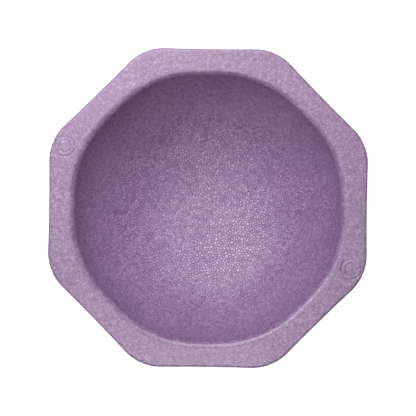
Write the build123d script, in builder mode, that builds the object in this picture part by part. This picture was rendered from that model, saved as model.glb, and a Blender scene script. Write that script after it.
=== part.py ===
"""Octagonal bead-foam bowl, moulded in one piece.

The bowl stands on its foot: the origin is the centre of the resting face, +Z points up out of the
hollow, and the rim's sides face +-X, +-Y and the diagonals. Sizes are in millimetres.
"""

import math
import os

from build123d import *

# Rim: an octagon with soft corners and sides that sink in slightly.
ACROSS_FLATS = 280.0
HEIGHT = 120.0
SIDES = 8
SIDE_SINK = 1.0
RIM_CORNER_RADIUS = 42.0
OUTER_EDGE_RADIUS = 2.0
INNER_EDGE_RADIUS = 6

# Outer wall: part of an ellipse cut off flat at the foot, nearly round there and octagonal at the rim.
FOOT_RADIUS = 64.0
FOOT_ROUNDNESS = 0.92
FOOT_EDGE_RADIUS = 3.0
WALL_SECTIONS = 7

# Hollow: half an ellipse, nearly round at the floor and a very soft octagon at the mouth.
HOLLOW_DEPTH = 96.0
MOUTH_FLAT_RADIUS = 117.3
MOUTH_CORNER_REACH = 119.0
FLOOR_DISC_RADIUS = 10.0
FLOOR_ROUNDNESS = 0.97
HOLLOW_SECTIONS = 9

# Creases down the rim's corners. The wall curves in below the rim, so each one runs out by itself.
CREASE_DEPTH = 0.9
CREASE_WIDTH = 2.2
CREASE_CUT_LENGTH = 40.0

# Ring marks left by the mould on two opposite corners of the rim.
MARK_RADIUS = 9.2
MARK_INNER_RADIUS = 5.7
MARK_GROOVE = 1.0
MARK_DEPTH = 0.5
MARK_DISTANCE = 137.2
MARK_ANGLE = 157.5

SIDE_TURN = 360.0 / SIDES
CORNER_SPREAD = 1 / math.cos(math.radians(SIDE_TURN / 2))
RIM_RADIUS = ACROSS_FLATS / 2


def sunken_octagon(flat_radius, corner_radius, sink):
    """An octagon with rounded corners and sunken sides, added to the sketch that calls it."""
    corner = (flat_radius + sink) * CORNER_SPREAD
    with BuildSketch(mode=Mode.PRIVATE) as outline:
        with BuildLine():
            for side in range(SIDES):
                middle = side * SIDE_TURN
                ThreePointArc(
                    Vector(corner, 0).rotate(Axis.Z, middle - SIDE_TURN / 2),
                    Vector(flat_radius, 0).rotate(Axis.Z, middle),
                    Vector(corner, 0).rotate(Axis.Z, middle + SIDE_TURN / 2),
                )
        make_face()
        fillet(outline.vertices(), corner_radius)
    add(outline.sketch)


def soft_octagon(flat_radius, corner_radius):
    """An octagon with rounded corners and straight sides, added to the sketch that calls it."""
    with BuildSketch(mode=Mode.PRIVATE) as outline:
        RegularPolygon(flat_radius, SIDES, major_radius=False, rotation=SIDE_TURN / 2)
        fillet(outline.vertices(), corner_radius)
    add(outline.sketch)


# The hollow, from the floor up.
mouth_corner_radius = (MOUTH_FLAT_RADIUS * CORNER_SPREAD - MOUTH_CORNER_REACH) / (CORNER_SPREAD - 1)
mouth_roundness = mouth_corner_radius / MOUTH_FLAT_RADIUS
floor_turn = math.asin(FLOOR_DISC_RADIUS / MOUTH_FLAT_RADIUS)
with BuildPart() as hollow:
    for section in range(HOLLOW_SECTIONS):
        share = section / (HOLLOW_SECTIONS - 1)
        turn = floor_turn + share * (math.pi / 2 - floor_turn)
        flat_radius = MOUTH_FLAT_RADIUS * math.sin(turn)
        roundness = FLOOR_ROUNDNESS + share * (mouth_roundness - FLOOR_ROUNDNESS)
        with BuildSketch(Plane.XY.offset(HEIGHT - HOLLOW_DEPTH * math.cos(turn))):
            soft_octagon(flat_radius, roundness * flat_radius)
    loft()

foot_turn = math.asin(FOOT_RADIUS / RIM_RADIUS)
ellipse_height = HEIGHT / math.cos(foot_turn)
with BuildPart() as bowl:
    # The outer form, from the foot up.
    for section in range(WALL_SECTIONS):
        share = section / (WALL_SECTIONS - 1)
        turn = foot_turn + share * (math.pi / 2 - foot_turn)
        flat_radius = RIM_RADIUS * math.sin(turn)
        roundness = FOOT_ROUNDNESS * (1 - share)
        corner = roundness * flat_radius + (1 - roundness) * RIM_CORNER_RADIUS
        with BuildSketch(Plane.XY.offset(HEIGHT - ellipse_height * math.cos(turn))):
            sunken_octagon(flat_radius, corner, SIDE_SINK * flat_radius / RIM_RADIUS)
    loft()

    add(hollow.part, mode=Mode.SUBTRACT)
    rim = bowl.faces().filter_by(Axis.Z).sort_by(Axis.Z)[-1]
    rim_corners = rim.outer_wire().edges().sort_by(lambda edge: (edge @ 0.5).length)[-SIDES:]
    rim_reach = (rim_corners[-1] @ 0.5 - Vector(0, 0, HEIGHT)).length
    fillet(rim.inner_wires()[0].edges(), INNER_EDGE_RADIUS)

    # The corner creases.
    with BuildSketch(Plane.XY.offset(HEIGHT)):
        with PolarLocations(rim_reach, SIDES, start_angle=SIDE_TURN / 2):
            Polygon(
                (-CREASE_DEPTH, 0),
                (CREASE_DEPTH, -CREASE_WIDTH),
                (CREASE_DEPTH, CREASE_WIDTH),
                align=None,
            )
    extrude(amount=-CREASE_CUT_LENGTH, mode=Mode.SUBTRACT)
    rim = bowl.faces().filter_by(Axis.Z).sort_by(Axis.Z)[-1]
    fillet(rim.outer_wire().edges(), OUTER_EDGE_RADIUS)
    foot = bowl.faces().filter_by(Axis.Z).sort_by(Axis.Z)[0]
    fillet(foot.outer_wire().edges(), FOOT_EDGE_RADIUS)

    # The ring marks.
    with BuildSketch(Plane.XY.offset(HEIGHT)):
        with PolarLocations(MARK_DISTANCE, 2, start_angle=MARK_ANGLE):
            for radius in (MARK_RADIUS, MARK_INNER_RADIUS):
                Circle(radius)
                Circle(radius - MARK_GROOVE, mode=Mode.SUBTRACT)
    extrude(amount=-MARK_DEPTH, mode=Mode.SUBTRACT)

bowl.part.label = "foam_bowl"
os.makedirs("parts", exist_ok=True)
export_step(bowl.part, "parts/foam_bowl.step")
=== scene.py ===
"""Looks of the octagonal bead-foam bowl: a skin of real foam beads over the CAD shape, in metres."""

import math

import bmesh
import bpy
import numpy as np
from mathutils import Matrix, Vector
from mathutils.bvhtree import BVHTree
from mathutils.geometry import delaunay_2d_cdt


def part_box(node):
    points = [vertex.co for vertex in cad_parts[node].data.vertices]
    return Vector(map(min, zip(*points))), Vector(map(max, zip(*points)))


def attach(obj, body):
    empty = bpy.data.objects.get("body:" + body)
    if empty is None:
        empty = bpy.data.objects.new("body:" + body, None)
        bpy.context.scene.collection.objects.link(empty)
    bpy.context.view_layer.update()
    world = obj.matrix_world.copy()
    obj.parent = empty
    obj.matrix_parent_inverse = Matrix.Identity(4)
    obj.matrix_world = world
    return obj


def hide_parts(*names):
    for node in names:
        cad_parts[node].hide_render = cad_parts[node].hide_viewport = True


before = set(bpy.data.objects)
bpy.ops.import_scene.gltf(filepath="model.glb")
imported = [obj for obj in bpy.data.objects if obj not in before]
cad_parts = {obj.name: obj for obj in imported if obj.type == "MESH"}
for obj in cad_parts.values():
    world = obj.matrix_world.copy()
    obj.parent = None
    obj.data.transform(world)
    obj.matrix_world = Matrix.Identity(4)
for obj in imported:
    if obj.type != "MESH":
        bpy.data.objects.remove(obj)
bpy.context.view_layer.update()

NODE = "foam_bowl"
node_low, node_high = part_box(NODE)
HEIGHT = node_high.z

# The CAD shape's main sizes, which the beads are first spread over and then drawn onto exactly.
SIDES = 8
RIM_FLAT = 0.140
RIM_CORNER_RADIUS = 0.042
FOOT_RADIUS = 0.064
MOUTH_RADIUS = 0.118
MOUTH_EDGE_RADIUS = 0.006
HOLLOW_DEPTH = 0.096
RIM_MEAN_RADIUS = 0.1435

# The beads.
SEED = 20743
BEAD_PITCH_OUTSIDE = 0.00365
BEAD_PITCH_RIM = 0.0030
BEAD_PITCH_HOLLOW = 0.0025
JITTER = 0.55
RELAX_ROUNDS = 2
RELAX_SHARE = 0.4
SEAM_DEPTH = 0.00016
LEVEL_SPREAD = 0.00005
WRAP_REACH = 0.014
END_ROWS_RADIUS = 3 * BEAD_PITCH_OUTSIDE

# How far the beads stand up as domes, from 0 to 1, and the band of the hollow over which they flatten.
DOME_ON_WALLS = 0.35
DOME_ON_RIM = 0.05
FLATTEN_FROM = 0.050
FLATTEN_OVER = 0.040
RIM_DEPTH = 0.002

# Where the skin is finer than the beads: the ring marks, the creases down the corners and the outer edge.
MARK_TURNS = (math.radians(157.5), math.radians(-22.5))
MARK_DISTANCE = 0.1372
MARK_REACH = 0.0100
MARK_OUTER_REACH = 0.1466
CREASE_FROM = 0.141
CREASE_REACH = 0.018
CREASE_HALF_WIDTH = 0.0028
EDGE_BAND = 0.0035
MARK_BAND = 0.001
TOP_BAND = 0.0008
SIDE_BAND = 0.0003
CAST_ABOVE = 0.002
CAST_OUTSIDE = 0.005

# The foam's colours and grain. Each noise scale is in waves per metre.
FOAM_DARK = (0.335, 0.195, 0.395)
FOAM_MIDDLE = (0.44, 0.275, 0.50)
FOAM_LIGHT = (0.56, 0.38, 0.62)
FOAM_PINK = (0.50, 0.28, 0.50)
PINK_SHARE = 0.25
SEAM_SHADE = (0.50, 0.43, 0.52)
DRIFT_SCALE = 26
DRIFT_LOW = (0.94, 0.93, 0.95)
DRIFT_HIGH = (1.05, 1.06, 1.04)
MOTTLE_SCALE = 300
MOTTLE_LOW = (0.57, 0.56, 0.58)
MOTTLE_HIGH = (1.09, 1.10, 1.08)
SHEEN_SCALE = 600
GRAIN_SCALE = 1500
RELIEF_HEIGHT = 0.00026
DOME_STEEPNESS = 2.2

# The stage.
LIGHT_TARGET = 0.1
FLOOR_REACH = 6.0
WHITE_TO_CAMERA = 0.95
AMBIENT = 0.03
PHOTO_WIDTH = 416
BOWL_WIDTH_IN_PHOTO = 318.5
CAMERA_HEIGHT = 1.30
CAMERA_TURN = math.radians(0.76)
SENSOR_WIDTH = 36

rng = np.random.default_rng(SEED)


def mean_profile():
    """The bowl's outline in a plane through its axis: radius and height, from foot centre to floor centre."""
    foot_turn = math.asin(FOOT_RADIUS / RIM_MEAN_RADIUS)
    ellipse = HEIGHT / math.cos(foot_turn)
    turn = np.linspace(foot_turn, math.pi / 2, 200)
    wall = np.stack([RIM_MEAN_RADIUS * np.sin(turn), HEIGHT - ellipse * np.cos(turn)], 1)
    bend = np.linspace(math.pi / 2, 0, 30)
    edge_centre = MOUTH_RADIUS + MOUTH_EDGE_RADIUS
    edge = np.stack(
        [
            edge_centre - MOUTH_EDGE_RADIUS * np.cos(bend),
            HEIGHT - MOUTH_EDGE_RADIUS + MOUTH_EDGE_RADIUS * np.sin(bend),
        ],
        1,
    )
    sink = math.acos(MOUTH_EDGE_RADIUS / HOLLOW_DEPTH)
    turn = np.linspace(sink, 0, 240)
    hollow = np.stack([MOUTH_RADIUS * np.sin(turn), HEIGHT - HOLLOW_DEPTH * np.cos(turn)], 1)
    foot = np.stack([np.linspace(0, FOOT_RADIUS, 80), np.zeros(80)], 1)
    return np.concatenate([foot, wall, edge, hollow])


def profile_table(line, step=0.0001):
    """Arc length, radius, height and conformal height (the integral of ds / r) along a profile line."""
    lengths = np.concatenate([[0], np.cumsum(np.hypot(*np.diff(line, axis=0).T))])
    along = np.arange(step / 2, lengths[-1], step)
    radius = np.maximum(np.interp(along, lengths, line[:, 0]), step / 2)
    height = np.interp(along, lengths, line[:, 1])
    conformal = np.cumsum(step / radius)
    return along, radius, height, conformal


def octagon_reach(angle):
    """Distance from the axis to the rim's outer edge at each angle."""
    fold = math.pi / SIDES
    off = np.abs((angle + fold) % (2 * fold) - fold)
    centre = (RIM_FLAT - RIM_CORNER_RADIUS) / math.cos(fold)
    across = fold - off
    corner = centre * np.cos(across) + np.sqrt(RIM_CORNER_RADIUS**2 - (centre * np.sin(across)) ** 2)
    flat = RIM_FLAT / np.cos(off)
    straight = (RIM_FLAT - RIM_CORNER_RADIUS) * math.tan(fold)
    return np.where(RIM_FLAT * np.tan(off) <= straight, flat, corner)


def spread_beads(along, radius):
    """Arc length and angle of each bead, in jittered rows round the axis."""
    rim_at = along[np.argmax(radius)]
    stages = (0, rim_at - 0.005, rim_at + 0.003, rim_at + 0.02, rim_at + 0.04, along[-1])
    sizes = (BEAD_PITCH_OUTSIDE,) * 2 + (BEAD_PITCH_RIM,) * 2 + (BEAD_PITCH_HOLLOW,) * 2
    pitch_along = np.interp(along, stages, sizes)
    progress = np.cumsum((along[1] - along[0]) / (pitch_along * math.sqrt(3) / 2))
    rows = int(round(progress[-1]))
    progress *= rows / progress[-1]
    s_all, u_all = [], []
    for row in range(rows):
        s = np.interp(row + 0.5, progress, along)
        pitch = np.interp(s, along, pitch_along)
        count = max(3, int(round(2 * math.pi * np.interp(s, along, radius) / pitch)))
        u = (np.arange(count) + rng.random()) * 2 * math.pi / count
        end_row = row in (0, rows - 1)
        if not end_row:
            u = u + rng.uniform(-JITTER, JITTER, count) * 2 * math.pi / count
            s = s + rng.uniform(-JITTER, JITTER, count) * pitch * math.sqrt(3) / 2
        s_all.append(np.broadcast_to(s, count))
        u_all.append(u % (2 * math.pi))
    return np.concatenate(s_all), np.concatenate(u_all)


def join_beads(s, u, tables):
    """Triangles between neighbouring beads, worked out on the conformal map, which wraps round in angle."""
    along, radius, _, conformal = tables
    v = np.interp(s, along, conformal)
    r = np.interp(s, along, radius)
    count = len(s)
    margin = np.minimum(2 * math.pi, WRAP_REACH / r)
    before = np.nonzero(u > 2 * math.pi - margin)[0]
    after = np.nonzero(u < margin)[0]
    owner = np.concatenate([np.arange(count), before, after])
    plane = np.stack(
        [
            np.concatenate([u, u[before] - 2 * math.pi, u[after] + 2 * math.pi]),
            v[owner],
        ],
        1,
    )
    found = delaunay_2d_cdt([Vector(p) for p in plane], [], [], 0, 1e-12)
    triangles = np.array([f for f in found[2]])
    first_of = np.array([o[0] for o in found[3]])
    placed = np.array([p[:] for p in found[0]])
    middle = placed[triangles].mean(1)[:, 0]
    inside = (middle >= 0) & (middle < 2 * math.pi)
    triangles = owner[first_of[triangles[inside]]]
    ends = [np.nonzero(s == s.min())[0], np.nonzero(s == s.max())[0]]
    ends = [ring[np.argsort(u[ring])] for ring in ends]
    caps = [ends[0][::-1], ends[1]]
    return np.concatenate([triangles, np.array(caps)])


def relax(s, u, tables):
    """Beads moved part of the way to the middle of their neighbours."""
    along, radius, _, _ = tables
    for _ in range(RELAX_ROUNDS):
        triangles = join_beads(s, u, tables)
        pairs = np.concatenate([triangles[:, [0, 1]], triangles[:, [1, 2]], triangles[:, [2, 0]]])
        ds = s[pairs[:, 1]] - s[pairs[:, 0]]
        du = (u[pairs[:, 1]] - u[pairs[:, 0]] + math.pi) % (2 * math.pi) - math.pi
        around = np.bincount(pairs[:, 0], minlength=len(s))
        move_s = np.bincount(pairs[:, 0], ds, len(s)) / around
        move_u = np.bincount(pairs[:, 0], du, len(s)) / around
        free = (s > s.min()) & (s < s.max()) & (np.interp(s, along, radius) > END_ROWS_RADIUS)
        s = s + RELAX_SHARE * move_s * free
        u = (u + RELAX_SHARE * move_u * free) % (2 * math.pi)
    return s, u


def on_cad(points, tree):
    """Each point drawn onto the CAD surface, with the surface's normal there."""
    placed, normals = np.empty_like(points), np.empty_like(points)
    for i, p in enumerate(points):
        hit, normal, _, _ = tree.find_nearest(Vector(p))
        placed[i] = hit
        normals[i] = normal
    return placed, normals


def patch_level(point):
    """How many times the skin is split again at a point: more at ring marks, creases and the outer edge."""
    radius = math.hypot(point.x, point.y)
    depth = HEIGHT - point.z
    if depth > CREASE_REACH:
        return 0
    angle = math.atan2(point.y, point.x)
    if depth < MARK_BAND:
        for turn in MARK_TURNS:
            mark = Vector((MARK_DISTANCE * math.cos(turn), MARK_DISTANCE * math.sin(turn)))
            if (point.xy - mark).length < MARK_REACH:
                return 2
    fold = math.pi / SIDES
    off = abs((angle % (2 * fold)) - fold)
    if radius * math.sin(off) < CREASE_HALF_WIDTH and radius > CREASE_FROM:
        return 2
    edge_gap = float(octagon_reach(angle)) - radius
    if depth < EDGE_BAND and edge_gap < EDGE_BAND:
        return 1
    return 0


def refine(mesh, tree):
    """Splits the skin where the shape is finer than a bead, with the new points on the CAD surface."""
    bm = bmesh.new()
    bm.from_mesh(mesh)
    drop = bm.verts.layers.float["drop"]
    known = len(bm.verts)
    for level in (1, 2):
        picked = {e for f in bm.faces if patch_level(f.calc_center_median()) >= level for e in f.edges}
        bmesh.ops.subdivide_edges(bm, edges=list(picked), cuts=1, use_grid_fill=True)
    bmesh.ops.triangulate(bm, faces=[f for f in bm.faces if len(f.verts) > 3])
    bm.verts.index_update()
    for vert in bm.verts:
        point = vert.co
        if vert.index < known and not patch_level(point):
            continue
        radius = math.hypot(point.x, point.y)
        depth = HEIGHT - point.z
        outward = Vector((point.x / radius, point.y / radius, 0))
        hit = None
        if depth < TOP_BAND and radius < MARK_OUTER_REACH:
            hit, normal, _, _ = tree.ray_cast(point + Vector((0, 0, CAST_ABOVE)), Vector((0, 0, -1)))
            normal = Vector((0, 0, 1))
        elif depth > SIDE_BAND and patch_level(point) == 2:
            hit, normal, _, _ = tree.ray_cast(point + outward * CAST_OUTSIDE, -outward)
        if hit is None:
            hit, normal, _, _ = tree.find_nearest(point)
        vert.co = hit - normal * vert[drop]
    bm.to_mesh(mesh)
    bm.free()


def roundness(points, normals):
    """How far each bead stands up as a dome: most on the hollow's floor, least on the rim."""
    radius = np.hypot(points[:, 0], points[:, 1])
    depth = HEIGHT - points[:, 2]
    inside = (normals[:, 2] > 0) & (radius < MOUTH_RADIUS) & (depth > RIM_DEPTH)
    in_hollow = 1 - (1 - DOME_ON_WALLS) * np.clip((radius - FLATTEN_FROM) / FLATTEN_OVER, 0, 1)
    outside = ~inside & (depth > RIM_DEPTH)
    return np.where(inside, in_hollow, np.where(outside, DOME_ON_WALLS, DOME_ON_RIM))


def bead_skin():
    """The bowl's surface as one closed mesh of beads, each a low dome with sunken seams round it."""
    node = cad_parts[NODE]
    tree = BVHTree.FromObject(node, bpy.context.evaluated_depsgraph_get())
    tables = profile_table(mean_profile())
    along, radius, height, _ = tables
    s, u = relax(*spread_beads(along, radius), tables)
    triangles = join_beads(s, u, tables)

    r = np.interp(s, along, radius)
    z = np.interp(s, along, height)
    rim_at = along[np.argmax(radius)]
    mouth_at = along[np.argmax((along > rim_at) & (height < HEIGHT - 1e-5))]
    stretch = octagon_reach(u) / RIM_MEAN_RADIUS - 1
    wall_share = np.clip((r - FOOT_RADIUS) / (RIM_MEAN_RADIUS - FOOT_RADIUS), 0, 1)
    rim_share = np.clip((mouth_at - s) / (mouth_at - rim_at), 0, 1)
    share = np.where(s < rim_at, wall_share, rim_share)
    r = r * (1 + stretch * share)
    beads, bead_normals = on_cad(np.stack([r * np.cos(u), r * np.sin(u), z], 1), tree)

    corners, corner_normals = on_cad(beads[triangles].mean(1), tree)
    count = len(beads)
    start = triangles.ravel()
    end = np.roll(triangles, -1, 1).ravel()
    left = np.repeat(np.arange(len(triangles)), 3)
    key = start * count + end
    order = np.argsort(key)
    right = left[order[np.searchsorted(key[order], end * count + start)]]
    faces = np.stack([start, count + right, count + left], 1)

    level = rng.normal(0, LEVEL_SPREAD, count)
    level = np.clip(level, -2 * LEVEL_SPREAD, 2 * LEVEL_SPREAD) - 2 * LEVEL_SPREAD
    bulge = np.concatenate([roundness(beads, bead_normals), roundness(corners, corner_normals)])
    drop = np.concatenate([-level, SEAM_DEPTH * (0.4 + 0.9 * bulge[count:])])
    outward = np.concatenate([bead_normals, corner_normals])
    points = np.concatenate([beads, corners]) - outward * drop[:, None]

    mesh = bpy.data.meshes.new("foam_bowl_skin")
    mesh.from_pydata(points.tolist(), [], faces.tolist())
    mesh.attributes.new("drop", "FLOAT", "POINT").data.foreach_set("value", drop)
    seam = mesh.attributes.new("seam", "FLOAT", "POINT")
    seam.data.foreach_set("value", np.repeat([0.0, 1.0], [count, len(corners)]))
    mesh.attributes.new("bulge", "FLOAT", "POINT").data.foreach_set("value", bulge)
    for name in ("bead_tone", "bead_tint"):
        layer = mesh.attributes.new(name, "FLOAT", "FACE")
        layer.data.foreach_set("value", rng.random(count)[start].astype(np.float32))
    refine(mesh, tree)
    mesh.attributes.remove(mesh.attributes["drop"])
    mesh.shade_smooth()
    skin = bpy.data.objects.new("foam_bowl_skin", mesh)
    bpy.context.collection.objects.link(skin)
    return skin


def foam_material():
    """Lavender bead foam."""
    material = bpy.data.materials.new("bead_foam")
    material.use_nodes = True
    tree = material.node_tree
    nodes, links = tree.nodes, tree.links
    surface = nodes["Principled BSDF"]

    def attribute(name):
        n = nodes.new("ShaderNodeAttribute")
        n.attribute_name = name
        return n.outputs["Fac"]

    def ramp(source, stops):
        n = nodes.new("ShaderNodeValToRGB")
        while len(n.color_ramp.elements) < len(stops):
            n.color_ramp.elements.new(0.5)
        for element, (at, colour) in zip(n.color_ramp.elements, stops):
            element.position = at
            element.color = (*colour, 1)
        links.new(source, n.inputs["Fac"])
        return n.outputs["Color"]

    def noise(scale, detail, rough=0.5):
        n = nodes.new("ShaderNodeTexNoise")
        n.inputs["Scale"].default_value = scale
        n.inputs["Detail"].default_value = detail
        n.inputs["Roughness"].default_value = rough
        links.new(place, n.inputs["Vector"])
        return n.outputs["Fac"]

    def mix(kind, share, a, b):
        n = nodes.new("ShaderNodeMix")
        n.data_type = "RGBA"
        n.blend_type = kind
        n.clamp_factor = True
        for value, socket in ((share, n.inputs[0]), (a, n.inputs[6]), (b, n.inputs[7])):
            if isinstance(value, (int, float)):
                socket.default_value = value
            elif isinstance(value, tuple):
                socket.default_value = (*value, 1)
            else:
                links.new(value, socket)
        return n.outputs[2]

    def sums(kind, a, b, clamp=False):
        n = nodes.new("ShaderNodeMath")
        n.operation = kind
        n.use_clamp = clamp
        for value, socket in zip((a, b), n.inputs):
            if isinstance(value, (int, float)):
                socket.default_value = value
            else:
                links.new(value, socket)
        return n.outputs[0]

    place = nodes.new("ShaderNodeTexCoord").outputs["Object"]
    seam = attribute("seam")
    tone = attribute("bead_tone")
    tint = attribute("bead_tint")
    bulge = attribute("bulge")

    # Beads and seams are clearest where they stand up most; elsewhere soft blotches show instead.
    clarity = sums("ADD", sums("MULTIPLY", bulge, 0.85), 0.55, clamp=True)
    centred = sums("MULTIPLY", sums("SUBTRACT", tone, 0.5), clarity)
    bead = ramp(sums("ADD", centred, 0.5), [(0.0, FOAM_DARK), (0.5, FOAM_MIDDLE), (1.0, FOAM_LIGHT)])
    bead = mix("MIX", sums("MULTIPLY", tint, PINK_SHARE), bead, FOAM_PINK)
    drift = ramp(noise(DRIFT_SCALE, 2), [(0.3, DRIFT_LOW), (0.7, DRIFT_HIGH)])
    bead = mix("MULTIPLY", 1.0, bead, drift)
    mottle = ramp(noise(MOTTLE_SCALE, 3, 0.6), [(0.3, MOTTLE_LOW), (0.7, MOTTLE_HIGH)])
    bead = mix("MULTIPLY", sums("SUBTRACT", 1.0, bulge), bead, mottle)
    line = ramp(seam, [(0.5, (1.0, 1.0, 1.0)), (1.0, SEAM_SHADE)])
    colour = mix("MULTIPLY", clarity, bead, line)
    links.new(colour, surface.inputs["Base Color"])

    # The hollow's floor is a little shinier than the walls and the rim.
    polish = sums("SUBTRACT", 0.28, sums("MULTIPLY", bulge, 0.18))
    sheen = sums("MULTIPLY", noise(SHEEN_SCALE, 2), 0.14)
    links.new(sums("ADD", sheen, polish), surface.inputs["Roughness"])
    surface.inputs["Specular IOR Level"].default_value = 1.0

    # Relief: fine grain, less the fall of each dome towards its seams.
    height = sums("ADD", sums("MULTIPLY", bulge, 1.05), 0.10)
    dome = sums("MULTIPLY", sums("POWER", seam, DOME_STEEPNESS), height)
    grain = sums("MULTIPLY", noise(GRAIN_SCALE, 3, 0.6), 0.25)
    relief = sums("SUBTRACT", grain, dome)
    bump = nodes.new("ShaderNodeBump")
    bump.inputs["Strength"].default_value = 1.0
    bump.inputs["Distance"].default_value = RELIEF_HEIGHT
    links.new(relief, bump.inputs["Height"])
    links.new(bump.outputs["Normal"], surface.inputs["Normal"])
    return material


bowl = bead_skin()
bowl.data.materials.append(foam_material())
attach(bowl, "root")
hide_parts(NODE)


def soft_light(name, turn, lift, away, width, power):
    """A square soft light at a turn and lift, in degrees, and a distance from the bowl, aimed at it."""
    data = bpy.data.lights.new(name, "AREA")
    data.shape = "SQUARE"
    data.size = width
    data.energy = power
    turn, lift = math.radians(turn), math.radians(lift)
    aim = Vector((0, 0, LIGHT_TARGET))
    back = Vector((math.cos(turn) * math.cos(lift), math.sin(turn) * math.cos(lift), math.sin(lift)))
    lamp = bpy.data.objects.new(name, data)
    lamp.location = aim + back * away
    lamp.rotation_euler = (-back).to_track_quat("-Z", "Y").to_euler()
    bpy.context.collection.objects.link(lamp)


# Plain pale floor, which the camera sees as white.
floor_mesh = bpy.data.meshes.new("floor")
floor_corners = [(FLOOR_REACH * x, FLOOR_REACH * y, 0) for x, y in ((-1, -1), (1, -1), (1, 1), (-1, 1))]
floor_mesh.from_pydata(floor_corners, [], [(0, 1, 2, 3)])
floor = bpy.data.objects.new("floor", floor_mesh)
bpy.context.collection.objects.link(floor)
floor_look = bpy.data.materials.new("floor")
floor_look.use_nodes = True
floor_surface = floor_look.node_tree.nodes["Principled BSDF"]
floor_surface.inputs["Base Color"].default_value = (0.50, 0.50, 0.50, 1)
floor_surface.inputs["Roughness"].default_value = 0.9
floor_surface.inputs["Specular IOR Level"].default_value = 0.0
floor_surface.inputs["Emission Color"].default_value = (1, 1, 1, 1)
seen = floor_look.node_tree.nodes.new("ShaderNodeLightPath")
glow = floor_look.node_tree.nodes.new("ShaderNodeMath")
glow.operation = "MULTIPLY"
glow.inputs[1].default_value = WHITE_TO_CAMERA
floor_look.node_tree.links.new(seen.outputs["Is Camera Ray"], glow.inputs[0])
floor_look.node_tree.links.new(glow.outputs[0], floor_surface.inputs["Emission Strength"])
floor_mesh.materials.append(floor_look)

# Light: a white surround for the camera, almost no light from it, and soft lamps round the bowl.
world = bpy.data.worlds.new("studio")
world.use_nodes = True
sky = world.node_tree.nodes["Background"]
sky.inputs["Color"].default_value = (1, 1, 1, 1)
sky_seen = world.node_tree.nodes.new("ShaderNodeLightPath")
sky_glow = world.node_tree.nodes.new("ShaderNodeMath")
sky_glow.operation = "MULTIPLY_ADD"
sky_glow.inputs[1].default_value = WHITE_TO_CAMERA
sky_glow.inputs[2].default_value = AMBIENT
world.node_tree.links.new(sky_seen.outputs["Is Camera Ray"], sky_glow.inputs[0])
world.node_tree.links.new(sky_glow.outputs[0], sky.inputs["Strength"])
bpy.context.scene.world = world
soft_light("key", 90, 50, 1.1, 0.6, 3.8)
soft_light("key_left", 105, 55, 1.1, 0.6, 1.4)
soft_light("key_far_left", 150, 55, 1.1, 0.6, 2.0)
soft_light("key_close", 120, 50, 0.6, 0.3, 0.85)
soft_light("overhead_far", 92, 80, 1.9, 0.3, 1.9)
soft_light("overhead_near", 270, 65, 1.3, 0.3, 1.9)
soft_light("overhead_near_left", 225, 65, 1.3, 0.3, 0.4)
soft_light("overhead_high", 270, 76, 1.6, 0.3, 2.3)
soft_light("fill_left", 225, 15, 1.1, 0.6, 1.1)
soft_light("fill_right", 45, 35, 1.1, 0.6, 0.85)

# Camera straight above, turned a little, as far off as a long lens needs.
frame_width = PHOTO_WIDTH * RIM_FLAT * 2 / BOWL_WIDTH_IN_PHOTO
camera_data = bpy.data.cameras.new("camera")
camera_data.sensor_width = SENSOR_WIDTH
camera_data.lens = SENSOR_WIDTH * CAMERA_HEIGHT / frame_width
camera = bpy.data.objects.new("camera", camera_data)
camera.location = (0, 0, HEIGHT + CAMERA_HEIGHT)
camera.rotation_euler = (0, 0, CAMERA_TURN)
bpy.context.collection.objects.link(camera)
bpy.context.scene.camera = camera
bpy.context.scene.view_settings.view_transform = "Standard"
